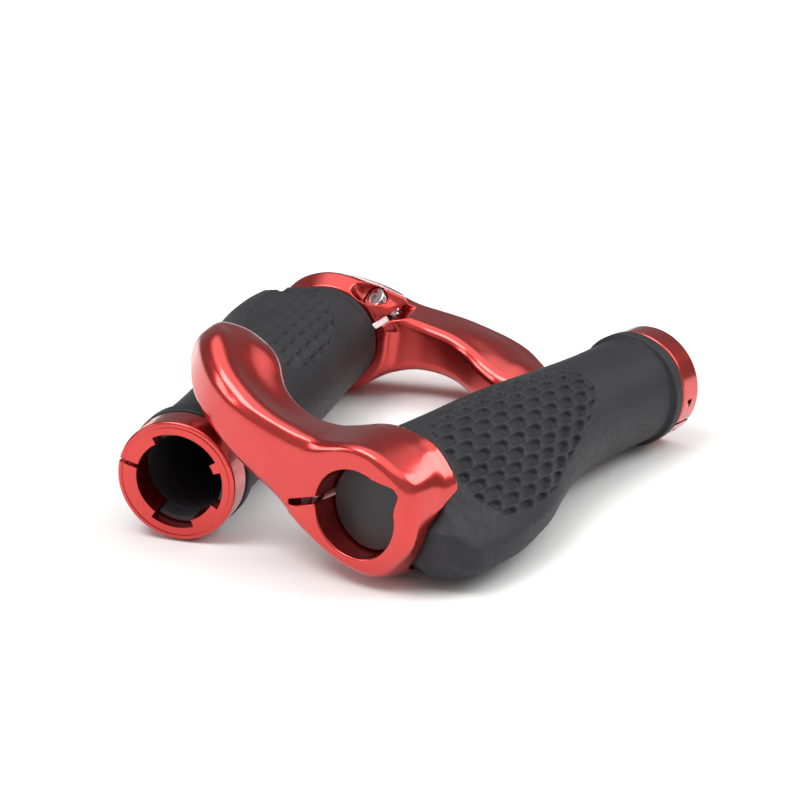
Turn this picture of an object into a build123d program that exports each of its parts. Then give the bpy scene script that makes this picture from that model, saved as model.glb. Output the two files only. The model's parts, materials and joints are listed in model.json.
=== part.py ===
from build123d import *
import os
from math import atan2, cos, exp, pi, radians, sin

# A left and right pair of lock-on bicycle grips with clamped bar ends, lying loose on a table.
# Each grip is drawn as the left one: x runs inwards along the handlebar from the outer face of
# the clamp, y points forwards (the way the horn goes) and z is up when the grip is on the bike.
# The right grip is its mirror image. place() then lays both on the table. All sizes are mm.

# --- driving dimensions -------------------------------------------------------------------
GRIP_LENGTH = 141.0        # outer face of the clamp to inner face of the lock ring
BORE_R = 11.15             # sleeve and slack clamps slide on a 22.2 mm handlebar
SLEEVE_R = 13.0            # outside of the plastic sleeve
SLEEVE_END_GAP = 0.6       # air between the sleeve or the rubber and the lock ring
TAB_RELIEF = 0.3           # the sleeve's tabs stand clear of the bar by this much
TAB_CLEARANCE = 0.4        # air around the sleeve's tabs in their notches
TAB_SIDE_ANGLE = 5.0       # a tab is this much narrower than its notch, in degrees

RING_X = 132.6             # outer face of the lock ring
RING_R = 16.5
RING_EDGE = 0.7            # rounding of the ring's rims
RING_GROOVE_R = 15.3       # turned groove in the ring's inner face
RING_GROOVE_WIDTH = 0.4
RING_GROOVE_DEPTH = 0.25
RING_NOTCH_R = 13.1
RING_TAB_START = 2.0       # the sleeve's ring tabs start this far before the ring
RING_TAB_LENGTH = 6.6
RING_SLIT = 1.2
RING_SLIT_AZIMUTH = 191.0
RING_NOTCHES = [(1.5, 47.0), (92.0, 54.0), (-79.0, 88.0)]   # azimuth and width of each key notch
RING_SCREW_RADIUS = 14.3   # distance of the ring screw from the bar's axis
RING_SCREW_X = 136.2
RING_SCREW_SEAT = 3.4      # underside of the small head, along the screw from the slit
RING_SCREW_HEAD_R = 2.25
RING_SCREW_HEAD_H = 2.4
RING_SCREW_R = 1.2
RING_SCREW_TAIL = 7.0
RING_SCREW_HEX_R = 1.15
RING_SCREW_HEX_DEPTH = 1.4

CLAMP_R = 17.9             # outside of the bar end's clamp
CLAMP_RISE = 0.6           # its centre is this much above the bar's axis
CLAMP_WIDTH = 18.0         # width of the clamp along the bar, at the top
CLAMP_REAR_WIDTH = 8.0     # its width behind the bar, where the palm wing starts
CLAMP_COLLAR_R = 14.0      # thin collar of the clamp that reaches under the wing
CLAMP_COLLAR_AZIMUTH = 183.0
CLAMP_COLLAR_ANGLE = 100.0
CLAMP_COLLAR_END = 17.0
CLAMP_ROUND = 3.0          # rounding of the clamp's outer rim
FACE_TILT = 5.0            # the outer face leans outwards towards the horn
PLUG_BORE_R = 11.7
PLUG_SEAT_X = 9.3          # shoulder that the end plug sits on
PLUG_FACE_X = 6.8
PLUG_WALL = 1.4
PLUG_RIM = 1.3             # width of the rim behind the plug's face
PLUG_FIT = 0.35
KEY_AZIMUTH = 120.0        # key notch of the clamp, which takes the sleeve's outer tab
KEY_WIDTH = 46.0
KEY_R = 14.0
KEY_TAB_LENGTH = 7.0

# the slit of the clamp lies in a plane through the bar's direction; across it runs the screw
SLIT_AZIMUTH = -36.87      # direction of the slit, seen along the bar
SLIT_OFFSET = 4.3          # distance of the slit's plane from the bar's axis
SLIT_WIDTH = 1.7
SLIT_END = 19.6            # where the slit stops on the outer face, from the foot of the axis
SLIT_START = 8.0           # the slit is cut from inside the bore
SLIT_REACH = 40.0
SLIT_BRIDGE_X = 4.2        # beyond this the slit runs out to the open side
SCREW_OUT = 18.1           # where the screw's axis crosses the slit, out from its foot
SCREW_X = 7.5
SCREW_TILT = 35.0          # the head leans inwards so that a key reaches it beside the grip
SCREW_SEAT = 5.0           # underside of the head, along the screw from the slit's plane
SCREW_R = 1.95
SCREW_HEAD_R = 3.5
SCREW_HEAD_H = 4.0
SCREW_LENGTH = 12.0
SCREW_HEX_R = 1.75
SCREW_HEX_DEPTH = 2.2
THREAD_FIT = 0.08          # air around a screw in its threaded hole
CLEARANCE_HOLE = 0.35      # air around a screw in its clearance hole
HEAD_POCKET = 0.4          # air around a screw's head
HEAD_GAP = 0.1             # air under a screw's head

CLAW_X = 1.5               # the claw starts this far in from the outer face
CLAW_WIDTH = 14.5

# stations of the horn: forwards, inwards, up, half width, half height
HORN_STATIONS = [
    (5.0, 7.6, 0.0, 8.2, 16.0),
    (13.0, 7.0, -0.4, 9.2, 13.2),
    (22.0, 6.0, -0.3, 9.6, 10.5),
    (32.0, 5.8, 0.0, 9.6, 9.1),
    (42.0, 7.6, 0.9, 9.8, 8.6),
    (50.0, 10.7, 2.6, 10.2, 8.2),
    (57.0, 15.2, 4.5, 10.6, 7.8),
    (62.5, 19.8, 5.5, 10.4, 6.8),
    (66.0, 23.8, 6.0, 8.2, 5.2),
    (67.8, 26.2, 6.3, 4.6, 2.9),
]
HORN_SQUARENESS = 2.5      # exponent of the superellipse that each horn section follows

# stations of the rubber: along the bar, body radius, reach of the palm wing, half spread (deg)
RUBBER_STATIONS = [
    (8.8, 16.6, 12.6, 25.0),
    (14.0, 16.4, 14.4, 26.0),
    (22.0, 16.2, 16.0, 27.0),
    (32.0, 16.2, 16.0, 30.0),
    (43.0, 16.3, 13.6, 33.0),
    (54.0, 16.6, 9.8, 36.0),
    (64.0, 16.7, 6.0, 38.0),
    (76.0, 16.4, 2.4, 40.0),
    (90.0, 15.8, 0.4, 40.0),
    (108.0, 15.3, 0.0, 40.0),
    (128.0, 15.5, 0.0, 40.0),
]
WING_AZIMUTH = 186.0       # the palm wing points backwards and a little down
RUBBER_X = 18.6            # start of the rubber's full tube
COLLAR_X = 128.0
COLLAR_R = 16.8
FIT_GAP = 0.4              # air between the rubber and the metal that slides past it

# where each grip lies: outer face centre, turn of the bar's axis, its tilt and the horn's rise
RIGHT_OFFSET = (127.2, 104.8)
LEFT_HEIGHT = 19.6
RIGHT_HEIGHT = 18.8
RIGHT_YAW = 20.5
LEFT_DROP = 1.3            # the bar's axis falls by this angle towards the lock ring
RIGHT_DROP = 0.9
LEFT_ROLL = 21.0
RIGHT_ROLL = -5.0


def bar_plane(x):
    """Plane square to the bar at x, with the sketch's x forwards and its y up."""
    return Plane(origin=(x, 0, 0), x_dir=(0, 1, 0), z_dir=(1, 0, 0))


def polar(radius, azimuth):
    return radius * cos(radians(azimuth)), radius * sin(radians(azimuth))


def sector_points(inner_r, outer_r, azimuth, width):
    """Corner points of a sector, with its outer arc's middle last."""
    half = width / 2
    return [
        polar(inner_r, azimuth - half),
        polar(outer_r, azimuth - half),
        polar(outer_r, azimuth),
        polar(outer_r, azimuth + half),
        polar(inner_r, azimuth + half),
        polar(inner_r, azimuth),
    ]


def sector(inner_r, outer_r, azimuth, width):
    """Face of a ring sector, to be added to a sketch."""
    a, b, b_mid, c, d, d_mid = sector_points(inner_r, outer_r, azimuth, width)
    with BuildSketch() as face:
        with BuildLine():
            Line(a, b)
            ThreePointArc(b, b_mid, c)
            Line(c, d)
            ThreePointArc(d, d_mid, a)
        make_face()
    return face.sketch


def slit_frame(out, up, x):
    """Point given along the slit and square to it, at x along the bar."""
    ay, az = polar(1.0, SLIT_AZIMUTH)
    return Vector(x, ay * out - az * (up + SLIT_OFFSET), az * out + ay * (up + SLIT_OFFSET))


def screw_plane(along):
    """Plane square to the clamp screw, facing the horn, at a distance along it from the slit."""
    ay, az = polar(1.0, SLIT_AZIMUTH)
    upright, lean = polar(1.0, SCREW_TILT)
    to_tail = Vector(-lean, -az * upright, ay * upright)
    origin = slit_frame(SCREW_OUT, 0, SCREW_X) + to_tail * along
    return Plane(origin=origin, x_dir=(0, ay, az), z_dir=to_tail)


def ring_screw_plane(along):
    """Plane square to the lock ring's screw, facing away from its head."""
    cy, cz = polar(RING_SCREW_RADIUS, RING_SLIT_AZIMUTH)
    ty, tz = polar(1.0, RING_SLIT_AZIMUTH + 90)
    origin = (RING_SCREW_X, cy + ty * along, cz + tz * along)
    return Plane(origin=origin, x_dir=(1, 0, 0), z_dir=(0, ty, tz))


def rubber_radius(station, azimuth):
    _, body, reach, spread = station
    off = (azimuth - WING_AZIMUTH + 180) % 360 - 180
    return body + reach * exp(-((off / spread) ** 2))


def make_rubber_grip():
    with BuildPart() as rubber_grip:
        for station in RUBBER_STATIONS:
            with BuildSketch(bar_plane(station[0])):
                with BuildLine():
                    points = [polar(rubber_radius(station, a), a) for a in range(0, 360, 15)]
                    Spline(*points, periodic=True)
                make_face()
        loft()
        with BuildSketch(bar_plane(COLLAR_X)):
            Circle(COLLAR_R)
        extrude(amount=RING_X - SLEEVE_END_GAP - COLLAR_X)
        with BuildSketch(bar_plane(0)):
            Circle(SLEEVE_R)
        extrude(amount=GRIP_LENGTH, mode=Mode.SUBTRACT)
        with BuildSketch(bar_plane(0)):
            Circle(CLAMP_COLLAR_R + FIT_GAP)
        extrude(amount=RUBBER_X, mode=Mode.SUBTRACT)
        add(wing_keep_out(), mode=Mode.SUBTRACT)
    return rubber_grip.part


def scallop_outline(gap):
    """Window behind the clamp that the wing fills, as points (x, z); gap shrinks it."""
    return [
        (CLAMP_REAR_WIDTH + gap, 5.5 - gap),
        (RUBBER_X, 13.2 - gap),
        (RUBBER_X, -13.6 + gap),
        (CLAMP_REAR_WIDTH + gap, -9.5 + gap),
    ]


def wing_keep_out():
    """Everything near the clamp except the window behind it."""
    with BuildPart() as keep_out:
        with BuildSketch(bar_plane(0)):
            Circle(60)
        extrude(amount=RUBBER_X)
        with BuildSketch(Plane.XZ):
            with BuildLine():
                Polyline(*scallop_outline(FIT_GAP), close=True)
            make_face()
        extrude(amount=70, mode=Mode.SUBTRACT)
    return keep_out.part


def make_core_sleeve():
    with BuildPart() as core_sleeve:
        with BuildSketch(bar_plane(RUBBER_X)):
            Circle(SLEEVE_R)
        extrude(amount=RING_X - SLEEVE_END_GAP - RUBBER_X)
        with BuildSketch(bar_plane(RING_X - RING_TAB_START)):
            for azimuth, width in RING_NOTCHES:
                tab_width = width - TAB_SIDE_ANGLE
                add(sector(BORE_R + TAB_RELIEF, RING_NOTCH_R - TAB_CLEARANCE, azimuth, tab_width))
        extrude(amount=RING_TAB_LENGTH)
        with BuildSketch(bar_plane(RUBBER_X + 1)):
            key_width = KEY_WIDTH - TAB_SIDE_ANGLE
            add(sector(BORE_R + TAB_RELIEF, SLEEVE_R, KEY_AZIMUTH, key_width))
        extrude(amount=-KEY_TAB_LENGTH)
        with BuildSketch(bar_plane(0)):
            Circle(BORE_R)
        extrude(amount=GRIP_LENGTH, mode=Mode.SUBTRACT)
    return core_sleeve.part


def make_lock_ring():
    with BuildPart() as lock_ring:
        with BuildSketch(bar_plane(RING_X)):
            Circle(RING_R)
        extrude(amount=GRIP_LENGTH - RING_X)
        fillet(lock_ring.edges().filter_by(GeomType.CIRCLE), RING_EDGE)
        with BuildSketch(bar_plane(GRIP_LENGTH)):
            Circle(RING_GROOVE_R)
            Circle(RING_GROOVE_R - RING_GROOVE_WIDTH, mode=Mode.SUBTRACT)
        extrude(amount=-RING_GROOVE_DEPTH, mode=Mode.SUBTRACT)
        with BuildSketch(bar_plane(RING_X)):
            Circle(BORE_R)
            for azimuth, width in RING_NOTCHES:
                add(sector(BORE_R - 1, RING_NOTCH_R, azimuth, width))
        extrude(amount=GRIP_LENGTH, mode=Mode.SUBTRACT)
        with BuildSketch(bar_plane(RING_X)):
            with Locations(polar((RING_R + BORE_R) / 2, RING_SLIT_AZIMUTH)):
                Rectangle(RING_R - BORE_R + 3, RING_SLIT, rotation=RING_SLIT_AZIMUTH)
        extrude(amount=GRIP_LENGTH, mode=Mode.SUBTRACT)
        with BuildSketch(ring_screw_plane(RING_SCREW_SEAT)):
            Circle(RING_SCREW_HEAD_R + CLEARANCE_HOLE)
        extrude(amount=RING_R, mode=Mode.SUBTRACT)
        with BuildSketch(ring_screw_plane(0)):
            Circle(RING_SCREW_R + CLEARANCE_HOLE)
        extrude(amount=RING_SCREW_SEAT + 1, mode=Mode.SUBTRACT)
        with BuildSketch(ring_screw_plane(0)):
            Circle(RING_SCREW_R + THREAD_FIT)
        extrude(amount=-RING_SCREW_TAIL - 0.6, mode=Mode.SUBTRACT)
    return lock_ring.part


def make_lock_ring_screw():
    under_head = RING_SCREW_SEAT + HEAD_GAP
    with BuildPart() as lock_ring_screw:
        with BuildSketch(ring_screw_plane(under_head)):
            Circle(RING_SCREW_HEAD_R)
        extrude(amount=RING_SCREW_HEAD_H)
        with BuildSketch(ring_screw_plane(under_head)):
            Circle(RING_SCREW_R)
        extrude(amount=-RING_SCREW_TAIL - RING_SCREW_SEAT)
        with BuildSketch(ring_screw_plane(under_head + RING_SCREW_HEAD_H)):
            RegularPolygon(RING_SCREW_HEX_R, 6)
        extrude(amount=-RING_SCREW_HEX_DEPTH, mode=Mode.SUBTRACT)
    return lock_ring_screw.part


def horn_section_plane(index):
    """Plane square to the horn's spine at a station, with its x across and its y up."""
    before = HORN_STATIONS[max(index - 1, 0)]
    after = HORN_STATIONS[min(index + 1, len(HORN_STATIONS) - 1)]
    forward, inward, up = HORN_STATIONS[index][:3]
    turn = atan2(after[1] - before[1], after[0] - before[0])
    across = (cos(turn), -sin(turn), 0)
    return Plane(origin=(inward, forward, up), x_dir=across, z_dir=(sin(turn), cos(turn), 0))


def superellipse(half_width, half_height, steps=24):
    """Points round a superellipse."""
    points = []
    for step in range(steps):
        angle = 2 * pi * step / steps
        c = cos(angle)
        s = sin(angle)
        power = 2 / HORN_SQUARENESS
        x = half_width * abs(c) ** power * (1 if c > 0 else -1)
        y = half_height * abs(s) ** power * (1 if s > 0 else -1)
        points.append((x, y))
    return points


def make_horn():
    with BuildPart() as horn:
        for index, station in enumerate(HORN_STATIONS):
            with BuildSketch(horn_section_plane(index)):
                with BuildLine():
                    Spline(*superellipse(station[3], station[4]), periodic=True)
                make_face()
        loft()
    return horn.part


def claw_outline():
    """The claw under the bar that the clamp screw pulls in, as points (y, z)."""
    lip = slit_frame(26.3, 0.4, 0)
    tip = slit_frame(26.0, -2.6, 0)
    root = slit_frame(12.0, 2.0, 0)
    return [(lip.Y, lip.Z), (tip.Y, tip.Z), (14.0, -17.6), (5.0, -18.6), (0.0, -16.0), (root.Y, root.Z)]


def make_bar_end():
    with BuildPart() as bar_end:
        with BuildSketch(bar_plane(-3)):
            with Locations((0, CLAMP_RISE)):
                Circle(CLAMP_R)
        extrude(amount=CLAMP_WIDTH + 3)
        with BuildSketch(Plane(origin=(0, 0, 0), x_dir=(0, 0, 1), z_dir=outward())):
            Circle(80)
        extrude(amount=20, mode=Mode.SUBTRACT)
        fillet(bar_end.edges().group_by(Axis.X)[0], CLAMP_ROUND)
        with BuildSketch(bar_plane(CLAW_X)):
            with BuildLine():
                Polyline(*claw_outline(), close=True)
            make_face()
        extrude(amount=CLAW_WIDTH)
        add(make_horn())
        add(slit_cutter(), mode=Mode.SUBTRACT)
        add(screw_cutter(), mode=Mode.SUBTRACT)
        with BuildSketch(Plane.XZ.offset(3)):
            with BuildLine():
                Polyline(*scallop_outline(0), close=True)
            make_face()
        extrude(amount=70, mode=Mode.SUBTRACT)
        with BuildSketch(bar_plane(CLAMP_REAR_WIDTH)):
            add(sector(BORE_R - 1, CLAMP_COLLAR_R, CLAMP_COLLAR_AZIMUTH, CLAMP_COLLAR_ANGLE))
        extrude(amount=CLAMP_COLLAR_END - CLAMP_REAR_WIDTH)
        add(bore_cutter(), mode=Mode.SUBTRACT)
    return bar_end.part


def outward():
    """Normal of the outer face, which leans outwards towards the horn."""
    return (-cos(radians(FACE_TILT)), -sin(radians(FACE_TILT)), 0)


def bore_cutter():
    """Bore for the bar, counterbore for the plug and the key notch."""
    with BuildPart() as cutter:
        with BuildSketch(bar_plane(-5)):
            Circle(BORE_R)
            add(sector(BORE_R - 1, KEY_R, KEY_AZIMUTH, KEY_WIDTH))
        extrude(amount=CLAMP_WIDTH + 10)
        with BuildSketch(bar_plane(-5)):
            Circle(PLUG_BORE_R)
        extrude(amount=PLUG_SEAT_X + 5)
    return cutter.part


def slit_cutter():
    """The slit stops in a round end on the outer face and runs out on the inner side."""
    short = slit_frame((SLIT_END + SLIT_START) / 2, 0, 0)
    long = slit_frame((SLIT_REACH + SLIT_START) / 2, 0, 0)
    with BuildPart() as cutter:
        with BuildSketch(bar_plane(-5)):
            with Locations((short.Y, short.Z)):
                SlotOverall(SLIT_END - SLIT_START, SLIT_WIDTH, rotation=SLIT_AZIMUTH)
        extrude(amount=CLAMP_WIDTH + 10)
        with BuildSketch(bar_plane(SLIT_BRIDGE_X)):
            with Locations((long.Y, long.Z)):
                Rectangle(SLIT_REACH - SLIT_START, SLIT_WIDTH, rotation=SLIT_AZIMUTH)
        extrude(amount=CLAMP_WIDTH + 10)
    return cutter.part


def screw_cutter():
    """Head pocket and clearance hole in the claw, threaded hole in the horn's root."""
    with BuildPart() as cutter:
        with BuildSketch(screw_plane(-SCREW_SEAT)):
            Circle(SCREW_HEAD_R + HEAD_POCKET)
        extrude(amount=-20)
        with BuildSketch(screw_plane(0)):
            Circle(SCREW_R + CLEARANCE_HOLE)
        extrude(amount=-SCREW_SEAT - 1)
        with BuildSketch(screw_plane(0)):
            Circle(SCREW_R + THREAD_FIT)
        extrude(amount=SCREW_LENGTH - SCREW_SEAT + 1)
    return cutter.part


def make_clamp_screw():
    under_head = -SCREW_SEAT - HEAD_GAP
    with BuildPart() as clamp_screw:
        with BuildSketch(screw_plane(under_head)):
            Circle(SCREW_HEAD_R)
        extrude(amount=-SCREW_HEAD_H)
        with BuildSketch(screw_plane(under_head)):
            Circle(SCREW_R)
        extrude(amount=SCREW_LENGTH)
        with BuildSketch(screw_plane(under_head - SCREW_HEAD_H)):
            RegularPolygon(SCREW_HEX_R, 6)
        extrude(amount=SCREW_HEX_DEPTH, mode=Mode.SUBTRACT)
    return clamp_screw.part


def make_end_plug():
    """Cap in the clamp's counterbore, hollow behind its face, with a key in the notch."""
    plug_r = PLUG_BORE_R - PLUG_FIT
    with BuildPart() as end_plug:
        with BuildSketch(bar_plane(PLUG_FACE_X)):
            Circle(plug_r)
            add(sector(plug_r - PLUG_RIM, KEY_R - TAB_CLEARANCE, KEY_AZIMUTH, KEY_WIDTH - TAB_SIDE_ANGLE))
        extrude(amount=PLUG_SEAT_X - HEAD_GAP - PLUG_FACE_X)
        with BuildSketch(bar_plane(PLUG_FACE_X + PLUG_WALL)):
            Circle(plug_r - PLUG_RIM)
        extrude(amount=PLUG_SEAT_X, mode=Mode.SUBTRACT)
        fillet(end_plug.edges().group_by(Axis.X)[0], 0.4)
    return end_plug.part


def place(shape, side):
    """Lays a piece of the left or right grip on the table."""
    if side == "left":
        lie = Rot(0, LEFT_DROP, 0) * Rot(LEFT_ROLL, 0, 0)
        return Pos(0, 0, LEFT_HEIGHT) * lie * shape
    lie = Rot(0, 0, RIGHT_YAW) * Rot(0, -RIGHT_DROP, 0) * Rot(180 - RIGHT_ROLL, 0, 0)
    return Pos(*RIGHT_OFFSET, RIGHT_HEIGHT) * lie * shape.mirror(Plane.YZ)


makers = {
    "rubber_grip": make_rubber_grip,
    "core_sleeve": make_core_sleeve,
    "lock_ring": make_lock_ring,
    "lock_ring_screw": make_lock_ring_screw,
    "bar_end": make_bar_end,
    "clamp_screw": make_clamp_screw,
    "end_plug": make_end_plug,
}

pieces = {}
for name, make in makers.items():
    shape = make()
    for side in ("left", "right"):
        pieces[f"{side}_{name}"] = place(shape, side)

box = Compound(list(pieces.values())).bounding_box()
centre = box.center()
os.makedirs("parts", exist_ok=True)
for name, piece in pieces.items():
    piece = Pos(-centre.X, -centre.Y, -box.min.Z) * piece
    piece.label = name
    export_step(piece, f"parts/{name}.step")
print("size", box.size, "shift", -centre.X, -centre.Y, -box.min.Z)
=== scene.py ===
import json
from math import cos, pi, radians, sin

import bpy
import numpy as np
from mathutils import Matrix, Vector


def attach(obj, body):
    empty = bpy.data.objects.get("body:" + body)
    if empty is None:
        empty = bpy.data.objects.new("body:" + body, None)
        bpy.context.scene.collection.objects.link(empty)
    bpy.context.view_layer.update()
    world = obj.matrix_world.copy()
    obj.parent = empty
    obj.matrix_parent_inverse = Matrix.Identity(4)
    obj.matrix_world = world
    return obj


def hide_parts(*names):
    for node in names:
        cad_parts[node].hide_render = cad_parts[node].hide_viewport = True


# A pair of lock-on bicycle grips with clamped bar ends, lying on a pale table.
# Each grip is drawn in its own frame in mm: x inwards along the bar from the clamp's outer face,
# y forwards towards the horn, z up as worn on the bike. The right grip mirrors the left one.

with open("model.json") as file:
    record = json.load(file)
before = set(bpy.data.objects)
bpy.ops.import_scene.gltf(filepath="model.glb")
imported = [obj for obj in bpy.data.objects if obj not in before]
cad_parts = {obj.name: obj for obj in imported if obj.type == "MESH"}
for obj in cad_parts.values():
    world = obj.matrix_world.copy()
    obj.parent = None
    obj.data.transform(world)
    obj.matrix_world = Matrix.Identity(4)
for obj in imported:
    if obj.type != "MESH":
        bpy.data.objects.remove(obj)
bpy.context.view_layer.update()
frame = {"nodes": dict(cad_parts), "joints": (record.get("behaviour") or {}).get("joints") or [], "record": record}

# --- sizes in mm, the same as the CAD model's or close to them ------------------------------
BORE_R = 11.15
SLEEVE_R = 13.0
RUBBER_X = 18.6            # start of the rubber's full tube
RUBBER_END = 132.0
WINDOW_X = 8.0             # the palm wing reaches out to here behind the clamp
BORE_MIDDLE_X = (RUBBER_X + RUBBER_END) / 2

CLAMP_RISE = 0.6
CLAMP_WIDTH = 17.7
FACE_TILT = 5.0
PLUG_BORE_R = 11.7
PLUG_SEAT_X = 9.3
COLLAR_R = 14.0
COLLAR_AZIMUTH = 183.0
COLLAR_ANGLE = 100.0
COLLAR_END = 17.0
# the clamp's key notch, seen along the bar
KEY_OUTLINE = [(0, 0), (-1.5, 11.3), (-7.8, 12.5), (-9.1, 11.6), (-9.4, 6.8)]
SLIT_AZIMUTH = -36.87
SLIT_Y, SLIT_Z = cos(radians(SLIT_AZIMUTH)), sin(radians(SLIT_AZIMUTH))
SLIT_OFFSET = 4.3          # distance of the slit's plane from the bar's axis
SLIT_WIDTH = 1.8
SLIT_MIDDLE = 13.0         # middle of the short slit in the outer face, out from the axis
SLIT_END = 19.6
SLIT_START = 8.0           # the long slit is cut from inside the bore
SLIT_BRIDGE_X = 4.2        # beyond this the slit runs out to the open side
SLIT_MOUTH = 20.0          # from here out the slit opens up
SCREW_OUT = 18.1
SCREW_X = 7.5
SCREW_TILT = 35.0          # the head leans inwards
SCREW_UPRIGHT, SCREW_LEAN = cos(radians(SCREW_TILT)), sin(radians(SCREW_TILT))
SCREW_SEAT = 5.0           # underside of the head, along the screw from the slit's plane
SCREW_R = 1.95
SCREW_HEAD_R = 3.5
SCREW_HEAD_H = 4.0
SCREW_LENGTH = 12.0
SCREW_HEX = 1.5            # half the width across the socket's flats
RING_SLIT_AZIMUTH = 191.0
RING_SCREW_RADIUS = 14.2   # distance of the ring screw from the bar's axis
RING_SCREW_X = 136.2
RING_SCREW_SEAT = 3.5
RING_SCREW_HEAD_R = 1.7
RING_SCREW_HEAD_H = 1.9
RING_SCREW_R = 1.15
RING_SCREW_LENGTH = 9.6
RING_SCREW_HEX = 0.75
FIT_GAP = 0.4

# stations of the horn: forwards, inwards, up, half width, half height
HORN_STATIONS = np.array([
    (-4.0, 7.0, 1.2, 8.0, 14.4),
    (5.0, 7.2, 1.0, 8.8, 14.6),
    (13.0, 6.9, -0.4, 9.2, 13.2),
    (22.0, 6.2, -0.3, 9.6, 10.5),
    (32.0, 6.2, 0.0, 9.6, 9.0),
    (42.0, 7.9, 0.9, 9.9, 8.5),
    (50.0, 10.8, 2.6, 10.8, 8.2),
    (56.5, 15.0, 4.5, 11.3, 8.0),
    (60.9, 18.2, 5.4, 10.8, 7.5),
])
# stations of the rubber: along the bar, body radius, reach of the palm wing, half spread (deg)
RUBBER_STATIONS = np.array([
    (8.8, 16.6, 12.8, 25.0),
    (14.0, 16.4, 13.9, 26.0),
    (22.0, 16.2, 14.9, 27.0),
    (32.0, 16.2, 14.8, 30.0),
    (43.0, 16.3, 12.9, 33.0),
    (54.0, 16.6, 9.8, 36.0),
    (64.0, 16.7, 6.0, 38.0),
    (76.0, 16.4, 2.4, 40.0),
    (90.0, 15.8, 0.4, 40.0),
    (108.0, 15.3, 0.0, 40.0),
    (128.0, 15.5, 0.0, 40.0),
])
WING_AZIMUTH = 184.0
# how much of the wing's reach is left at angles below its edge, at its outer end and further in
WING_ANGLES = np.array([0, 10, 28, 46, 66, 84])
WING_END_SHARE = np.array([1, 0.77, 0.42, 0.18, 0.02, 0])
WING_INNER_SHARE = np.array([1, 0.83, 0.46, 0.18, 0.04, 0])


# --- numeric helpers ------------------------------------------------------------------------
def smooth_table(value, keys, values):
    """Cubic interpolation of a short table, flat beyond its ends."""
    slopes = np.gradient(values, keys)
    value = np.clip(value, keys[0], keys[-1])
    i = np.clip(np.searchsorted(keys, value) - 1, 0, len(keys) - 2)
    width = keys[i + 1] - keys[i]
    t = (value - keys[i]) / width
    rise = t * t * (3 - 2 * t)
    start = t * (1 - t) ** 2 * width * slopes[i]
    stop = t * t * (t - 1) * width * slopes[i + 1]
    return values[i] * (1 - rise) + values[i + 1] * rise + start + stop


def ease(value, low, high):
    """0 below low, 1 above high, smooth between."""
    t = np.clip((value - low) / (high - low), 0, 1)
    return t * t * (3 - 2 * t)


def join(a, b, radius):
    """Union of two distances with a round fillet."""
    u = np.maximum(radius - a, 0)
    v = np.maximum(radius - b, 0)
    return np.maximum(radius, np.minimum(a, b)) - np.sqrt(u * u + v * v)


def meet(a, b, radius):
    """Intersection of two distances with a round edge."""
    u = np.maximum(radius + a, 0)
    v = np.maximum(radius + b, 0)
    return np.minimum(-radius, np.maximum(a, b)) + np.sqrt(u * u + v * v)


def carve(a, b, radius):
    """Takes b out of a, with a round edge."""
    return meet(a, -b, radius)


def polygon(px, py, corners):
    """Signed distance to a closed polygon."""
    corners = np.array(corners, float)
    nearest = None
    inside = False
    for (ax, ay), (bx, by) in zip(corners, np.roll(corners, -1, axis=0)):
        ex, ey = bx - ax, by - ay
        wx, wy = px - ax, py - ay
        t = np.clip((wx * ex + wy * ey) / (ex * ex + ey * ey), 0, 1)
        gap = (wx - t * ex) ** 2 + (wy - t * ey) ** 2
        nearest = gap if nearest is None else np.minimum(nearest, gap)
        crosses = (ay <= py) != (by <= py)
        side = ex * wy - ey * wx
        inside = inside ^ (crosses & ((side > 0) == (by > ay)))
    return np.where(inside, -1.0, 1.0) * np.sqrt(nearest)


def angle_off(azimuth, centre):
    """Degrees from centre to azimuth, between -180 and 180."""
    return (azimuth - centre + 180) % 360 - 180


# --- bar end --------------------------------------------------------------------------------
def slit_coordinates(y, z):
    """Distance out along the slit and height above its plane."""
    return SLIT_Y * y + SLIT_Z * z, SLIT_Y * z - SLIT_Z * y - SLIT_OFFSET


def from_slit(out, up):
    """The y and z of a point given by its distance out along the slit and height above it."""
    return SLIT_Y * out - SLIT_Z * (up + SLIT_OFFSET), SLIT_Z * out + SLIT_Y * (up + SLIT_OFFSET)


def horn_spine():
    """Close points along the horn's spine with its section there."""
    forward = np.linspace(HORN_STATIONS[0, 0], HORN_STATIONS[-1, 0], 110)
    rest = [smooth_table(forward, HORN_STATIONS[:, 0], HORN_STATIONS[:, k]) for k in (1, 2, 3, 4)]
    return np.column_stack([forward] + rest)


SPINE = horn_spine()


SPINE_BLEND = 12.0         # how softly the sections along the spine run into each other
LEAN_LIMIT = 9.0           # the top stops falling this far from the spine
TOP_LEAN = 0.19            # fall of the top towards the inner side
SCOOP_DEPTH = 1.2
BELLY_DEPTH = 0.8
WAIST_DEPTH = 1.1          # the underside is this much slimmer where the horn leaves the clamp
TIP_DROP = 0.035
HORN_EDGE = 3.2            # rounding of the edges
OUTER_EDGE_EXTRA = 3.6     # the outer top edge is rounder by up to this


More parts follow.
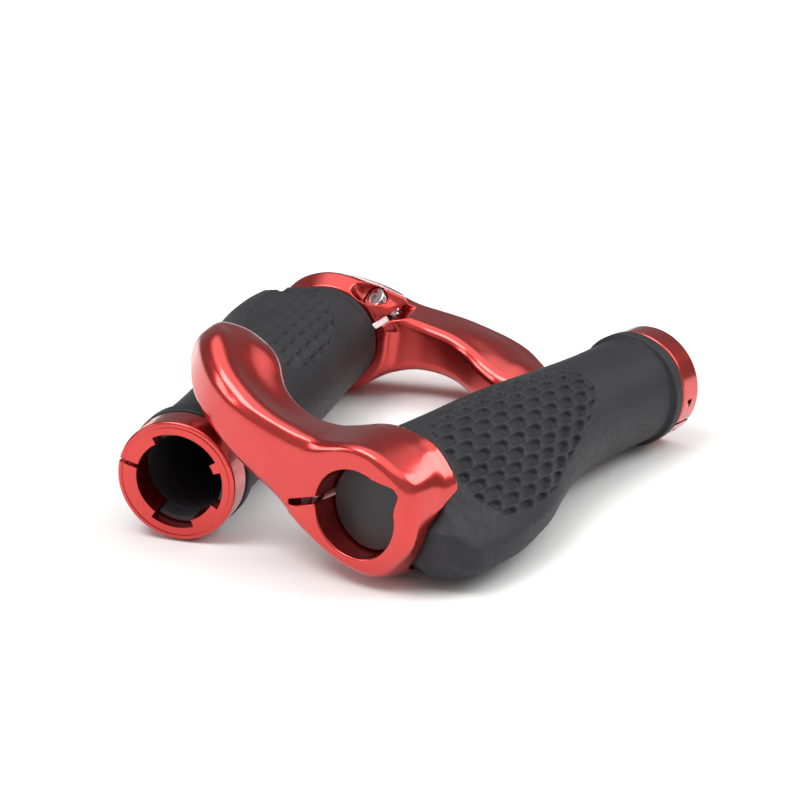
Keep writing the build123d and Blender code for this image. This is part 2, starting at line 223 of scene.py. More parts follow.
def horn_distance(x, y, z):
    """Rounded four-sided section swept along the spine, with a shallow scoop on top."""
    x, y = np.broadcast_arrays(x, y)
    dx = x[..., None] - SPINE[:, 1]
    dy = y[..., None] - SPINE[:, 0]
    reach = np.sqrt(dx * dx + dy * dy)
    plan = (reach - SPINE[:, 3]).min(axis=-1)
    nearest = (reach.min(axis=-1) ** 2)[..., None]
    weight = np.exp(-reach * reach / SPINE_BLEND + nearest / SPINE_BLEND)
    weight /= weight.sum(axis=-1)[..., None]
    forward, inward, middle, width, half = (
        (weight * SPINE[:, column]).sum(axis=-1) for column in range(5))
    depth = np.clip(-plan / width, 0, 1)
    # the top falls towards the inner side, and more so in the scoop
    across = x - inward
    settled = ease(forward, 12, 30)
    lean = np.clip(across, -LEAN_LIMIT, LEAN_LIMIT) * settled
    scoop = SCOOP_DEPTH * ease(forward, 24, 48) * ease(depth, 0.25, 0.95)
    belly = BELLY_DEPTH * ease(forward, 30, 50) * ease(depth, 0.2, 0.9)
    belly = belly - WAIST_DEPTH * ease(forward, 12, 26) * (1 - ease(forward, 44, 60))
    beyond = np.hypot(np.maximum(y - SPINE[-1, 0], 0), np.maximum(x - SPINE[-1, 1], 0))
    tip_drop = TIP_DROP * beyond ** 2
    rise = z - middle
    top = rise - half + scoop + tip_drop + TOP_LEAN * (lean + 2 * settled)
    bottom = -rise - half - belly + tip_drop * 0.5
    outer_edge = HORN_EDGE + OUTER_EDGE_EXTRA * ease(-across, -3, 5) * ease(forward, 8, 26)
    return meet(meet(top, plan, outer_edge), bottom, HORN_EDGE)


FLARE_R = 16.5             # radius of the clamp at x = 0, and its growth per mm inwards
FLARE_RATE = 0.105
LOW_FLARE_R = 15.2         # the same below the bar's axis
LOW_FLARE_RATE = 0.37
FACET_AZIMUTH = 120.0      # the facet above the key notch starts lower and flares more
FACET_DROP = 0.9
FACET_RATE = 0.145
CORNER_AZIMUTH = 136.0     # the facet ends in a low corner
CORNER_RISE = 0.5
CHAMFER_R = 19.5           # radius of the inner rim's chamfer at x = CHAMFER_X
CHAMFER_X = 12.4
CHAMFER_RATE = 0.52


def clamp_distance(x, y, z):
    """Outside of the clamp: a flared barrel with a chamfered inner rim underneath."""
    radius = np.hypot(y, z - CLAMP_RISE)
    under = ease(-z, 0, 9)
    azimuth = np.degrees(np.arctan2(z, y)) % 360
    facet = np.exp(-(angle_off(azimuth, FACET_AZIMUTH) / 27) ** 4)
    flare = FLARE_R - FACET_DROP * facet
    flare = flare + (FLARE_RATE + FACET_RATE * facet) * np.clip(x, -3, 18)
    low_flare = LOW_FLARE_R + LOW_FLARE_RATE * np.clip(x, -3, 13)
    # the factors 0.96 and 0.887 make up for the slope of each surface
    barrel = (radius - flare * (1 - under) - low_flare * under) * 0.96
    corner = np.exp(-(angle_off(azimuth, CORNER_AZIMUTH) / 11) ** 2) * ease(x, 5, 17) * CORNER_RISE
    barrel = barrel - corner
    chamfer = (radius - CHAMFER_R + CHAMFER_RATE * (x - CHAMFER_X)) * 0.887
    chamfer = chamfer - (1 - under) * 8
    return meet(meet(barrel, chamfer, 0.5), x - CLAMP_WIDTH, 0.5)


CLAW_BEVEL = 0.42          # the claw grows by this per mm inwards, up to CLAW_BEVEL_X
CLAW_BEVEL_X = 11.0
CLAW_SLOPE_X = 11.3        # its inner side slopes from here at the outline
CLAW_SLOPE = 0.55
CLAW_INNER_X = 15.6


def claw_distance(x, y, z):
    """The claw that the screw pulls towards the horn, bevelled on both sides."""
    lip = from_slit(26.4, 0.4)
    tip = from_slit(26.2, -2.8)
    root = from_slit(12.0, 3.0)
    corners = [lip, tip, (13.2, -16.9), (4.4, -17.4), (-4.0, -15.6), (0.0, -12.0), root]
    outline = polygon(y, z, corners)
    bevel = (outline + CLAW_BEVEL * np.maximum(CLAW_BEVEL_X - x, 0)) * 0.92
    slope = (x - CLAW_SLOPE_X + CLAW_SLOPE * outline) * 0.876
    return meet(meet(bevel, x - CLAW_INNER_X, 0.8), slope, 0.5)


def window_distance(x, z):
    """The opening behind the clamp that the palm wing fills, with rounded corners."""
    corner = 2.5
    corners = [(WINDOW_X + corner, 3.2), (21.6, 12.4), (21.6, -13.1), (WINDOW_X + corner, -7.2)]
    return polygon(x, z, corners) - corner


def sector_distance(y, z, azimuth, width, radius):
    """A pie slice out to a radius."""
    turn = radians(azimuth)
    along = y * cos(turn) + z * sin(turn)
    across = np.abs(-y * sin(turn) + z * cos(turn))
    half = radians(width / 2)
    wedge = across * cos(half) - along * sin(half)
    return np.maximum(wedge, np.hypot(y, z) - radius)


def inner_limit_distance(x, y):
    """The flat inner side of the clamp, which gives way to the horn in front."""
    return (x - 17.9 - 1.3 * np.maximum(y - 19, 0)) * 0.75


def collar_distance(x, y, z):
    """Thin collar of the clamp that reaches under the palm wing."""
    collar_slice = sector_distance(y, z, COLLAR_AZIMUTH, COLLAR_ANGLE, COLLAR_R)
    return np.maximum(np.maximum(collar_slice, WINDOW_X - 2 - x), x - COLLAR_END)


def bore_distance(x, y, z):
    """Bore for the bar, wider seat for the plug, and the key notch."""
    radius = np.hypot(y, z)
    bore = radius - BORE_R
    plug_bore = np.maximum(radius - PLUG_BORE_R, x - PLUG_SEAT_X)
    key = polygon(y, z, KEY_OUTLINE) - 0.3
    return np.minimum(np.minimum(bore, plug_bore), key)


def slit_distance(x, out, up):
    """The short slit in the outer face, and inside the bridge the slit that runs right out."""
    half = SLIT_WIDTH / 2
    past_end = np.maximum(np.abs(out - SLIT_MIDDLE) - (SLIT_END - SLIT_MIDDLE - half), 0)
    short_slit = np.hypot(past_end, up) - half
    above = up - half - 0.42 * np.maximum(out - SLIT_MOUTH, 0)
    ends = np.maximum(SLIT_START - out, SLIT_BRIDGE_X - x)
    long_slit = np.maximum(np.maximum(above, -half - up), ends)
    return np.minimum(short_slit, long_slit)


def screw_holes(x, out, up):
    """Pocket for the clamp screw's head, and the hole for its shank."""
    along = (x - SCREW_X) * SCREW_LEAN - up * SCREW_UPRIGHT
    from_screw = np.hypot(out - SCREW_OUT, (x - SCREW_X) * SCREW_UPRIGHT + up * SCREW_LEAN)
    pocket = np.maximum(from_screw - SCREW_HEAD_R - 0.35, SCREW_SEAT - along)
    hole = np.maximum(from_screw - SCREW_R - 0.3, np.abs(along - 1) - 9)
    return pocket, hole


def bar_end_distance(x, y, z):
    body = join(clamp_distance(x, y, z), horn_distance(x, y, z), 4.5)
    body = join(body, claw_distance(x, y, z), 2.0)
    tilt = radians(FACE_TILT)
    body = meet(body, -(x * cos(tilt) + y * sin(tilt)), 2.6)
    body = meet(body, inner_limit_distance(x, y), 0.4)
    body = carve(body, np.maximum(window_distance(x, z), y + 3), 0.5)
    body = np.minimum(body, collar_distance(x, y, z))
    body = carve(body, bore_distance(x, y, z), 0.45)
    out, up = slit_coordinates(y, z)
    body = carve(body, slit_distance(x, out, up), 0.3)
    pocket, hole = screw_holes(x, out, up)
    body = carve(body, pocket, 0.35)
    return carve(body, hole, 0.1)


def surface_nets(distance, low, high, pitch):
    """Quad mesh of the zero surface: one vertex in each cell that the surface crosses."""
    axes = [np.arange(a, b + pitch, pitch) for a, b in zip(low, high)]
    grid = distance(axes[0][:, None, None], axes[1][None, :, None], axes[2][None, None, :])
    inside = grid < 0
    total = np.zeros([n - 1 for n in grid.shape] + [3])
    count = np.zeros([n - 1 for n in grid.shape], int)
    crossings = []
    for axis in range(3):
        a = np.moveaxis(grid, axis, 0)
        here, there = a[:-1], a[1:]
        crosses = (here < 0) != (there < 0)
        i, j, k = np.nonzero(crosses)
        t = here[i, j, k] / (here[i, j, k] - there[i, j, k])
        index = [None, None, None]
        index[axis] = i
        others = [n for n in range(3) if n != axis]
        index[others[0]] = j
        index[others[1]] = k
        points = np.stack([index[n].astype(float) for n in range(3)], axis=-1)
        points[:, axis] += t
        crossings.append((axis, others, np.stack(index, axis=-1), inside[tuple(index)]))
        for da in (0, 1):
            for db in (0, 1):
                cell = np.stack(index, axis=-1)
                cell[:, others[0]] -= da
                cell[:, others[1]] -= db
                good = ((cell >= 0) & (cell < np.array(total.shape[:3]))).all(axis=1)
                np.add.at(total, tuple(cell[good].T), points[good])
                np.add.at(count, tuple(cell[good].T), 1)
    used = count > 0
    number = -np.ones(count.shape, int)
    number[used] = np.arange(used.sum())
    vertices = total[used] / count[used][:, None] * pitch + np.array([a[0] for a in axes])
    faces = []
    for axis, others, index, start_inside in crossings:
        cells = []
        for da, db in ((0, 0), (1, 0), (1, 1), (0, 1)):
            cell = index.copy()
            cell[:, others[0]] -= da
            cell[:, others[1]] -= db
            cells.append(number[tuple(cell.T)])
        quad = np.stack(cells, axis=-1)
        flip = start_inside ^ (axis == 1)
        quad[~flip] = quad[~flip][:, ::-1]
        faces.append(quad)
    return vertices, np.concatenate(faces)


def gradient(distance, points, step=0.12):
    """Slope of a distance at each point, by central differences."""
    parts = []
    for axis in range(3):
        offset = np.zeros(3)
        offset[axis] = step
        ahead = distance(*(points + offset).T)
        behind = distance(*(points - offset).T)
        parts.append((ahead - behind) / (2 * step))
    return np.stack(parts, axis=-1)


def settle(distance, points, rounds=3):
    """Moves points onto the zero surface along its gradient."""
    for _ in range(rounds):
        slope = gradient(distance, points)
        size = np.maximum((slope ** 2).sum(axis=1), 0.1)
        shift = distance(*points.T) / size
        points = points - slope * np.clip(shift, -0.3, 0.3)[:, None]
    return points


def make_bar_end_mesh():
    pitch = 0.42
    low, high = (-5.0, -21.0, -21.5), (31.0, 73.5, 21.0)
    vertices, faces = surface_nets(bar_end_distance, low, high, pitch)
    return settle(bar_end_distance, vertices), faces


def make_screw_mesh(foot, to_head, seat, head_r, head_h, shank_r, length, socket):
    """Socket head screw turned about its axis: head, hexagonal socket and ridged shank."""
    turn = np.linspace(0, 2 * pi, 72, endpoint=False)
    round_edge = np.ones_like(turn)
    hexagon = 1 / np.cos(np.abs((turn + pi / 6) % (pi / 3) - pi / 6))
    top, tail = seat + head_h, seat - length
    bottom = top - 0.55 * head_h
    # distance along the axis, radius, and outline of each ring
    profile = [(bottom, 0.02, hexagon), (bottom, socket, hexagon), (top - 0.2, socket, hexagon),
               (top, socket + 0.15, hexagon), (top, head_r - 0.35, round_edge),
               (top - 0.1, head_r - 0.1, round_edge), (top - 0.35, head_r, round_edge),
               (seat + 0.15, head_r, round_edge), (seat, head_r - 0.15, round_edge),
               (seat, shank_r, round_edge)]
    for crest in np.arange(seat - 0.6, tail + 0.6, -0.7):
        profile += [(crest, shank_r, round_edge), (crest - 0.3, 0.86 * shank_r, round_edge)]
    profile += [(tail, 0.8 * shank_r, round_edge), (tail, 0.02, round_edge)]
    foot, to_head = np.array(foot), np.array(to_head)
    first = np.array([0, to_head[2], -to_head[1]]) / np.hypot(*to_head[1:])
    second = np.cross(to_head, first)
    spoke = np.cos(turn)[:, None] * first + np.sin(turn)[:, None] * second
    rings = [foot + to_head * along + spoke * (radius * outline)[:, None]
             for along, radius, outline in profile]
    return wrap_rings(np.stack(rings), closed=False)


def make_clamp_screw_mesh():
    foot = (SCREW_X, *from_slit(SCREW_OUT, 0))
    to_head = (SCREW_LEAN, SLIT_Z * SCREW_UPRIGHT, -SLIT_Y * SCREW_UPRIGHT)
    return make_screw_mesh(foot, to_head, SCREW_SEAT + 0.1, SCREW_HEAD_R, SCREW_HEAD_H, SCREW_R,
                           SCREW_LENGTH, SCREW_HEX)


def make_ring_screw_mesh():
    cy, cz = cos(radians(RING_SLIT_AZIMUTH)), sin(radians(RING_SLIT_AZIMUTH))
    foot = (RING_SCREW_X, RING_SCREW_RADIUS * cy, RING_SCREW_RADIUS * cz)
    return make_screw_mesh(foot, (0, -cz, cy), RING_SCREW_SEAT, RING_SCREW_HEAD_R, RING_SCREW_HEAD_H,
                           RING_SCREW_R, RING_SCREW_LENGTH, RING_SCREW_HEX)


def wrap_rings(rings, closed):
    """Quads between neighbouring rings of points; a closed set also joins the last to the first."""
    count, around = rings.shape[:2]
    i = np.arange(count if closed else count - 1)[:, None]
    j = np.arange(around)[None, :]
    near, far = i * around, ((i + 1) % count) * around
    corners = [near + j, near + (j + 1) % around, far + (j + 1) % around, far + j]
    return rings.reshape(-1, 3), np.stack(np.broadcast_arrays(*corners), axis=-1).reshape(-1, 4)


# --- rubber grip ----------------------------------------------------------------------------
PAD_PERIOD = 7.65          # length of a scale pocket with its ridge
PAD_START = 58.5           # a pocket of the middle row is centred here
PAD_ROW = 3.7              # rows of pockets are this far apart, each shifted by half a pocket
POCKET_DEPTH = 1.25
POCKET_HALF_WIDTH = 1.62
POCKET_HALF_LENGTH = 3.5
TOP_PAD_AZIMUTH = 100.0
LOW_PAD_AZIMUTH = 268.0
PAD_RADIUS = 16.5          # turns a pad's azimuths into mm
END_ROUNDING = 0.5
# outlines of the two pads as distance along the bar and azimuth
TOP_PAD = [(24, 100), (23.5, 138), (25, 156), (30, 166), (44, 168.5), (57, 168), (68, 160),
           (78, 150), (85, 138), (90, 126), (94, 113), (95.5, 98), (93, 80), (86, 64), (74, 52),
           (59, 45), (46, 50), (34, 64), (27, 82)]
LOW_PAD = [(14, 221), (16, 236), (20, 252), (26, 273), (33, 292), (42, 308), (53, 317), (66, 320),
           (77, 314), (83, 302), (85, 286), (82, 268), (76, 250), (66, 234), (54, 222), (38, 213),
           (24, 214)]


COLLAR_RISE = 1.3          # the collar at the inner end stands out by this
CREASE_RISE = 0.62         # a raised crease sets off the wing's back
FULL_REACH = 12.0          # reach of the wing at which the crease has its full height
WING_TOP_OFF = 2.0         # centre of the upper side's bell curve, past the wing's edge


def wing_share(off, x, spread):
    """How much of the wing's reach is left at an angle from its edge."""
    flat = ease(x, 6, 20)
    below = (1 - flat) * smooth_table(off, WING_ANGLES, WING_END_SHARE)
    below = below + flat * smooth_table(off, WING_ANGLES, WING_INNER_SHARE)
    # past the wing the underside is round again
    round_below = np.exp(-((off / spread) ** 2))
    tail = ease(x, 36, 56)
    below = below * (1 - tail) + round_below * tail
    at_edge = np.exp(-((WING_TOP_OFF / spread) ** 2))
    above = np.exp(-(((off - WING_TOP_OFF) / spread) ** 2)) / at_edge
    return np.where(off < 0, above, below)


def rubber_radius(x, azimuth):
    """Distance from the bar's axis to the smooth rubber, before the pads are pressed in."""
    keys = RUBBER_STATIONS[:, 0]
    body, reach, spread = (smooth_table(x, keys, RUBBER_STATIONS[:, k]) for k in (1, 2, 3))
    off, x = np.broadcast_arrays(angle_off(azimuth, WING_AZIMUTH), x)
    radius = body + reach * wing_share(off, x, spread)
    strength = CREASE_RISE * np.clip(reach / FULL_REACH, 0, 1)
    crease = np.exp(-((off + 10.5) / 4.2) ** 2)
    collar = COLLAR_RISE * ease(x, 127.6, 128.3)
    return radius + strength * crease + collar


def window_start(azimuth):
    """Where the rubber starts along the bar: further out behind the clamp."""
    x = np.arange(WINDOW_X + FIT_GAP, RUBBER_X, 0.05)[:, None]
    z = rubber_radius(x, azimuth[None, :]) * np.sin(np.radians(azimuth))
    # the window widens from the outer end inwards
    share = (x - WINDOW_X) / (RUBBER_X - WINDOW_X)
    high = 5.1 + 7.7 * share
    low = -9.1 - 4.1 * share
    free = (z < high) & (z > low) & (np.cos(np.radians(azimuth)) < 0)
    first = np.argmax(free, axis=0)
    return np.where(free.any(axis=0), x[first, 0], RUBBER_X)


def pocket_depth(x, across, square):
    """Staggered scale pockets: a steep arched wall inwards, a ramp towards the clamp."""
    row = np.round(across / PAD_ROW)
    v = across - row * PAD_ROW
    u = ((x - PAD_START) / PAD_PERIOD + 0.5 * (row % 2) + 0.5) % 1 - 0.5
    u = u * PAD_PERIOD
    arch, tail = (1.1, 1.0) if square else (2.0, 0.8)
    front = np.hypot(np.maximum(u - POCKET_HALF_LENGTH + arch, 0) / arch, v / POCKET_HALF_WIDTH)
    back = np.hypot(np.maximum(-u - POCKET_HALF_LENGTH + tail, 0) / tail, v / POCKET_HALF_WIDTH)
    edge = (1 - np.maximum(front, back)) * POCKET_HALF_WIDTH
    ramp = np.clip((u + POCKET_HALF_LENGTH) / (1.5 * POCKET_HALF_LENGTH), 0, 1)
    return POCKET_DEPTH * ease(edge, -0.05, 0.32) * (0.1 + 0.9 * ramp)


def even_azimuths(pitch):
    """Azimuths spaced evenly along the outline where the wing is widest."""
    dense = np.linspace(0, 360, 3601)
    radius = rubber_radius(30.0, dense)
    steps = np.hypot(np.diff(radius), radians(0.1) * radius[:-1])
    length = np.concatenate([[0], np.cumsum(steps)])
    count = int(length[-1] / pitch)
    return np.interp(np.arange(count) / count * length[-1], length, dense)


SHOULDER = 4.0             # length of the close rows at the rounded outer end
PADS_LENGTH = 90.0         # rows are fine up to here, just past the pads
COARSE_PITCH = 1.2
COLLAR_LENGTH = 6.0        # close rows again at the collar
RIM_AZIMUTH = 142.0        # the rim that meets the clamp is highest here


def row_places(start, pitch):
    """Where the rows of points lie along the bar, for each azimuth."""
    full = RUBBER_END - WINDOW_X - FIT_GAP
    shoulder = 1 - np.cos(np.linspace(0, pi / 2, 12))
    rows = np.concatenate([
        shoulder * SHOULDER,
        np.arange(SHOULDER + 0.3, PADS_LENGTH, pitch),
        np.arange(PADS_LENGTH, full - COLLAR_LENGTH, COARSE_PITCH),
        np.arange(full - COLLAR_LENGTH + 0.4, full, 0.2),
    ])
    rows = (rows / rows[-1])[:, None]
    x = start + rows * (RUBBER_END - start)
    # the rounded end keeps its length at every azimuth
    return np.where(rows * full < SHOULDER + 0.01, start + rows * full, x)


def rounded_radius(x, start, azimuth):
    """The rubber's radius with its outer end rounded down to the rim, and its inner end eased."""
    rim = 18.2 + 1.4 * np.exp(-((azimuth - RIM_AZIMUTH) / 22) ** 2)
    step = np.maximum(rubber_radius(start + 5, azimuth) - rim, 0.7)
    rounding = np.clip(step * 0.85, 0.7, 9)
    q = np.clip((x - start) / rounding, 0, 1)
    radius = rubber_radius(x, azimuth) - step * (1 - np.sqrt(1 - (1 - q) ** 2))
    q_end = np.clip((RUBBER_END - x) / END_ROUNDING, 0, 1)
    return radius - END_ROUNDING * (1 - np.sqrt(1 - (1 - q_end) ** 2))


def outward_normals(outer, turn):
    """Unit normals of a grid of points, pointing away from the bar."""
    along = np.gradient(outer, axis=0)
    around = np.roll(outer, -1, axis=1) - np.roll(outer, 1, axis=1)
    normal = np.cross(around, along)
    normal /= np.maximum(np.linalg.norm(normal, axis=-1), 1e-9)[..., None]
    still = 0 * outer[..., 0]
    outward = np.stack([still, np.cos(turn) + still, np.sin(turn) + still], axis=-1)
    return normal * np.sign((normal * outward).sum(axis=-1))[..., None]


def press_pad(outer, normal, x, azimuth, pad, centre, square):
    """Sinks a pad's pockets into the surface, inside the pad's outline."""
    zero = int(np.argmin(np.abs(azimuth - centre)))
    arc = np.linalg.norm(np.roll(outer, -1, axis=1) - outer, axis=-1)
    across = np.cumsum(arc, axis=1) - arc
    across = across - across[:, zero][:, None]
    mm_per_degree = radians(PAD_RADIUS)
    corners = [(px, angle_off(pa, centre) * mm_per_degree) for px, pa in pad]
    sideways = angle_off(azimuth, centre) * mm_per_degree + 0 * x
    mask = ease(-polygon(x, sideways, corners), 0.0, 0.5)
    sink = pocket_depth(x, across, square) * mask
    return outer - normal * sink[..., None]


def make_rubber_mesh():
    pitch = 0.3
    azimuth = even_azimuths(pitch)
    turn = np.radians(azimuth)
    start = window_start(azimuth)
    x = row_places(start, pitch)

    def ring(x_value, radius_value):
        x_value = np.broadcast_to(x_value, np.broadcast_shapes(np.shape(x_value), turn.shape))
        return np.stack([x_value, radius_value * np.cos(turn), radius_value * np.sin(turn)], axis=-1)

    outer = ring(x, rounded_radius(x, start, azimuth))
    normal = outward_normals(outer, turn)
    outer = press_pad(outer, normal, x, azimuth, TOP_PAD, TOP_PAD_AZIMUTH, square=False)
    outer = press_pad(outer, normal, x, azimuth, LOW_PAD, LOW_PAD_AZIMUTH, square=True)

    inner = COLLAR_R + FIT_GAP
    first = [ring(RUBBER_X, SLEEVE_R), ring(RUBBER_X, inner), ring(start - 0.001, inner)]
    last = [ring(RUBBER_END, SLEEVE_R)]
    return wrap_rings(np.stack(first + list(outer) + last), closed=True)


# --- placing a grip's pieces ----------------------------------------------------------------
SHARP_ANGLE = radians(35)


def record_item(items, name):
    """The entry with a name in one of the record's lists."""
    return next(item for item in items if item["name"] == name)


def grip_frame(side):
    """Origin in metres and the unit directions of x, y and z of one grip."""
    bore = record_item(frame["record"]["mounts"], f"{side}_bar_bore")
    inward = np.array(bore["axis"])
    inward /= np.linalg.norm(inward)
    origin = np.array(bore["pos_m"]) - inward * BORE_MIDDLE_X / 1000
    screw = np.array(record_item(frame["joints"], f"{side}_clamp_screw_turn")["axis"])
    screw = screw - inward * (screw @ inward)
    screw /= np.linalg.norm(screw)
    square = np.cross(screw, inward) if side == "left" else np.cross(inward, screw)
    forward = SLIT_Y * square - SLIT_Z * screw
    up = SLIT_Z * square + SLIT_Y * screw
    return origin, np.stack([inward, forward, up])


def make_piece(name, points, faces, side, sharp):
    """Places a mesh drawn in the grip's frame; the right grip mirrors it."""
    origin, directions = grip_frame(side)
    placed = origin + points @ directions / 1000
    if side == "right":
        faces = faces[:, ::-1]
    mesh = bpy.data.meshes.new(name)
    mesh.from_pydata(placed.tolist(), [], faces.tolist())
    mesh.update()
    mesh.shade_smooth()
    if sharp:
        mesh.set_sharp_from_angle(angle=SHARP_ANGLE)
    piece = bpy.data.objects.new(name, mesh)
    bpy.context.scene.collection.objects.link(piece)
    return piece


# --- materials ------------------------------------------------------------------------------
def new_material(name):
    material = bpy.data.materials.new(name)
    material.use_nodes = True
    tree = material.node_tree
    return material, tree, tree.nodes["Principled BSDF"]


def noise(tree, scale, detail=3.0, roughness=0.55):
    """Noise in object space, which is in metres, so the grain keeps its real size."""
    place = tree.nodes.new("ShaderNodeTexCoord")
    node = tree.nodes.new("ShaderNodeTexNoise")
    node.inputs["Scale"].default_value = scale
    node.inputs["Detail"].default_value = detail
    node.inputs["Roughness"].default_value = roughness
    tree.links.new(place.outputs["Object"], node.inputs["Vector"])
    return node.outputs["Fac"]


def stretch(tree, factor, low, high):
    """Maps the middle range of a noise to low..high."""
    node = tree.nodes.new("ShaderNodeMapRange")
    node.inputs["From Min"].default_value = 0.3
    node.inputs["From Max"].default_value = 0.7
    node.inputs["To Min"].default_value = low
    node.inputs["To Max"].default_value = high
    tree.links.new(factor, node.inputs["Value"])
    return node.outputs["Result"]


def blend_colours(tree, factor, first, second):
    node = tree.nodes.new("ShaderNodeMix")
    node.data_type = "RGBA"
    node.inputs["A"].default_value = (*first, 1)
    node.inputs["B"].default_value = (*second, 1)
    tree.links.new(factor, node.inputs["Factor"])
    return node.outputs["Result"]


def bump(tree, shader, height, strength, distance):
    """Fine relief on a shader; the distance is in metres."""
    node = tree.nodes.new("ShaderNodeBump")
    node.inputs["Strength"].default_value = strength
    node.inputs["Distance"].default_value = distance
    tree.links.new(height, node.inputs["Height"])
    tree.links.new(node.outputs["Normal"], shader.inputs["Normal"])


def make_anodised():
    """Satin red anodised aluminium: fine blasted grain under a clear hard skin."""
    material, tree, shader = new_material("anodised_red")
    cloud = stretch(tree, noise(tree, 90), 0, 1)
    colour = blend_colours(tree, cloud, (0.58, 0.027, 0.021), (0.63, 0.034, 0.027))
    tree.links.new(colour, shader.inputs["Base Color"])
    tree.links.new(stretch(tree, noise(tree, 500, 2), 0.20, 0.26), shader.inputs["Roughness"])
    shader.inputs["Metallic"].default_value = 0.92
    shader.inputs["Coat Weight"].default_value = 0.8
    shader.inputs["Coat Roughness"].default_value = 0.12
    shader.inputs["Coat IOR"].default_value = 1.6
    bump(tree, shader, noise(tree, 5200, 2), 0.05, 0.00002)
    return material


def make_rubber():
    """Matte moulded rubber with a fine spark-eroded grain and faint handling marks."""
    material, tree, shader = new_material("grip_rubber")
    cloud = stretch(tree, noise(tree, 60, 4), 0, 1)
    colour = blend_colours(tree, cloud, (0.019, 0.019, 0.022), (0.025, 0.025, 0.028))
    tree.links.new(colour, shader.inputs["Base Color"])
    tree.links.new(stretch(tree, noise(tree, 700, 3), 0.50, 0.66), shader.inputs["Roughness"])
    shader.inputs["Specular IOR Level"].default_value = 0.32
    bump(tree, shader, noise(tree, 4200, 3), 0.25, 0.00006)
    return material


def make_plastic(name, low, high, roughness):
    """Moulded plastic with a soft sheen."""
    material, tree, shader = new_material(name)
    cloud = stretch(tree, noise(tree, 120, 3), 0, 1)
    tree.links.new(blend_colours(tree, cloud, low, high), shader.inputs["Base Color"])
    tree.links.new(stretch(tree, noise(tree, 900, 2), roughness - 0.05, roughness + 0.06),
                   shader.inputs["Roughness"])
    bump(tree, shader, noise(tree, 3000, 2), 0.15, 0.00004)
    return material


def make_steel():
    """Zinc plated steel with faint turning marks."""
    material, tree, shader = new_material("screw_steel")
    cloud = stretch(tree, noise(tree, 400, 3), 0, 1)
    colour = blend_colours(tree, cloud, (0.62, 0.62, 0.63), (0.78, 0.78, 0.78))
    tree.links.new(colour, shader.inputs["Base Color"])
    tree.links.new(stretch(tree, noise(tree, 1800, 2), 0.16, 0.28), shader.inputs["Roughness"])
    shader.inputs["Metallic"].default_value = 1.0
    bump(tree, shader, noise(tree, 3500, 2), 0.12, 0.00004)
    return material


def make_floor_material():
    material, _, shader = new_material("floor_paper")
    shader.inputs["Base Color"].default_value = (0.88, 0.875, 0.87, 1)
    shader.inputs["Roughness"].default_value = 0.9
    shader.inputs["Specular IOR Level"].default_value = 0.0
    return material


MATERIALS = {
    "anodised_red": make_anodised(),
    "grip_rubber": make_rubber(),
    "sleeve_plastic": make_plastic("sleeve_plastic", (0.030, 0.030, 0.033), (0.040, 0.040, 0.044), 0.45),
    "plug_plastic": make_plastic("plug_plastic", (0.020, 0.021, 0.025), (0.027, 0.028, 0.032), 0.5),
    "screw_steel": make_steel(),
}


def paint_cad_nodes():
    """Gives every CAD node the material of its slot."""
    for subpart in frame["record"]["subparts"]:
        node = frame["nodes"][subpart["node"]]
        for material_slot in node.material_slots:
            material_slot.material = MATERIALS[subpart["material_slot"]]


# --- building -------------------------------------------------------------------------------
def build_pieces():
    """Skins that stand in for CAD nodes: mesh, material slot and the body that each rides on."""
    shapes = {
        "bar_end": (make_bar_end_mesh(), "anodised_red", "bar_end"),
        "rubber_grip": (make_rubber_mesh(), "grip_rubber", "grip"),
        "clamp_screw": (make_clamp_screw_mesh(), "screw_steel", "clamp_screw"),
        "lock_ring_screw": (make_ring_screw_mesh(), "screw_steel", "lock_ring_screw"),
    }
    for side in ("left", "right"):
        for node, ((points, faces), slot, body) in shapes.items():
            sharp = slot == "screw_steel"
            piece = make_piece(f"{side}_{node}_skin", points, faces, side, sharp)
            piece.data.materials.append(MATERIALS[slot])
            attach(piece, f"{side}_{body}")
            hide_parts(f"{side}_{node}")


# --- studio, in metres and degrees ----------------------------------------------------------
FLOOR_SIZE = 6.0
CAMERA_AZIMUTH = -52.5     # the camera stands this far round from the -Y side
CAMERA_ELEVATION = 19.57
CAMERA_DISTANCE = 0.6244
CAMERA_LENS = 99.0
SIGHT = (0.0065, -0.0075, 0.0206)    # the point in the middle of the picture


def aim(thing, target):
    """Turns a light or the camera towards a point."""
    direction = Vector(target) - thing.location
    thing.rotation_euler = direction.to_track_quat("-Z", "Y").to_euler()


def add_camera():
    """Camera that looks down at the pair from in front and to one side."""
    data = bpy.data.cameras.new("camera")
    data.lens = CAMERA_LENS
    data.sensor_width = 36
    data.clip_start = 0.01
    camera = bpy.data.objects.new("camera", data)
    bpy.context.scene.collection.objects.link(camera)
    target = Vector(SIGHT)
    turn, rise = radians(CAMERA_AZIMUTH), radians(CAMERA_ELEVATION)
    away = Vector((sin(turn) * cos(rise), -cos(turn) * cos(rise), sin(rise)))
    camera.location = target + away * CAMERA_DISTANCE
    aim(camera, target)
    bpy.context.scene.camera = camera


def add_softbox(name, turn, rise, distance, size, power, target=(0, 0, 0.02)):
    """Square soft light at an azimuth from the camera and a height, in degrees and metres."""
    data = bpy.data.lights.new(name, "AREA")
    data.shape = "RECTANGLE"
    data.size, data.size_y = size
    data.energy = power
    light = bpy.data.objects.new(name, data)
    bpy.context.scene.collection.objects.link(light)
    azimuth = radians(CAMERA_AZIMUTH + turn)
    lift = radians(rise)
    away = Vector((sin(azimuth) * cos(lift), -cos(azimuth) * cos(lift), sin(lift)))
    light.location = away * distance
    aim(light, target)


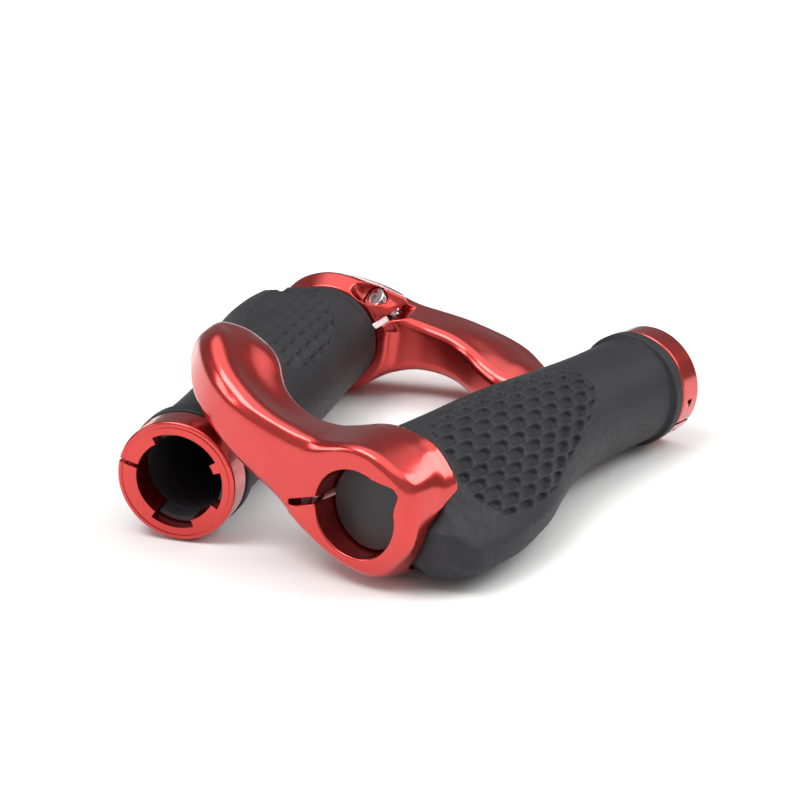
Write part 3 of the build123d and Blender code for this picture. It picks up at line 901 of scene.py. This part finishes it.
def add_studio():
    """Pale floor, room light and three softboxes."""
    mesh = bpy.data.meshes.new("floor")
    half = FLOOR_SIZE / 2
    corners = [(-half, -half, 0), (half, -half, 0), (half, half, 0), (-half, half, 0)]
    mesh.from_pydata(corners, [], [(0, 1, 2, 3)])
    mesh.materials.append(make_floor_material())
    floor = bpy.data.objects.new("floor", mesh)
    bpy.context.scene.collection.objects.link(floor)

    add_world()
    add_softbox("ridge_light", -55, 62, 1.8, (1.0, 0.6), 13.0)
    add_softbox("right_light", 92, 42, 1.6, (0.9, 0.8), 12.0)
    add_softbox("left_light", -80, 28, 1.6, (0.35, 0.7), 4.0)


def add_world():
    """Soft room light: bright overhead and from the camera's side, dim behind the object."""
    world = bpy.data.worlds.new("studio")
    world.use_nodes = True
    tree = world.node_tree
    place = tree.nodes.new("ShaderNodeTexCoord")
    turn = radians(CAMERA_AZIMUTH)

    def facing(direction, low, high, weak, strong):
        """Strength that eases from weak to strong as the view turns to a direction."""
        dot = tree.nodes.new("ShaderNodeVectorMath")
        dot.operation = "DOT_PRODUCT"
        dot.inputs[1].default_value = direction
        tree.links.new(place.outputs["Generated"], dot.inputs[0])
        ramp = tree.nodes.new("ShaderNodeMapRange")
        ramp.interpolation_type = "SMOOTHSTEP"
        limits = {"From Min": low, "From Max": high, "To Min": weak, "To Max": strong}
        for socket, value in limits.items():
            ramp.inputs[socket].default_value = value
        tree.links.new(dot.outputs["Value"], ramp.inputs["Value"])
        return ramp.outputs["Result"]

    total = tree.nodes.new("ShaderNodeMath")
    total.operation = "ADD"
    tree.links.new(facing((0, 0, 1), 0.70, 0.95, 0.0, 1.5), total.inputs[0])
    tree.links.new(facing((sin(turn), -cos(turn), 0), -0.3, 0.9, 0.22, 0.54), total.inputs[1])
    background = tree.nodes["Background"]
    background.inputs["Color"].default_value = (1, 1, 1, 1)
    tree.links.new(total.outputs["Value"], background.inputs["Strength"])
    bpy.context.scene.world = world


paint_cad_nodes()
build_pieces()
add_camera()
add_studio()
bpy.context.scene.view_settings.view_transform = "Standard"
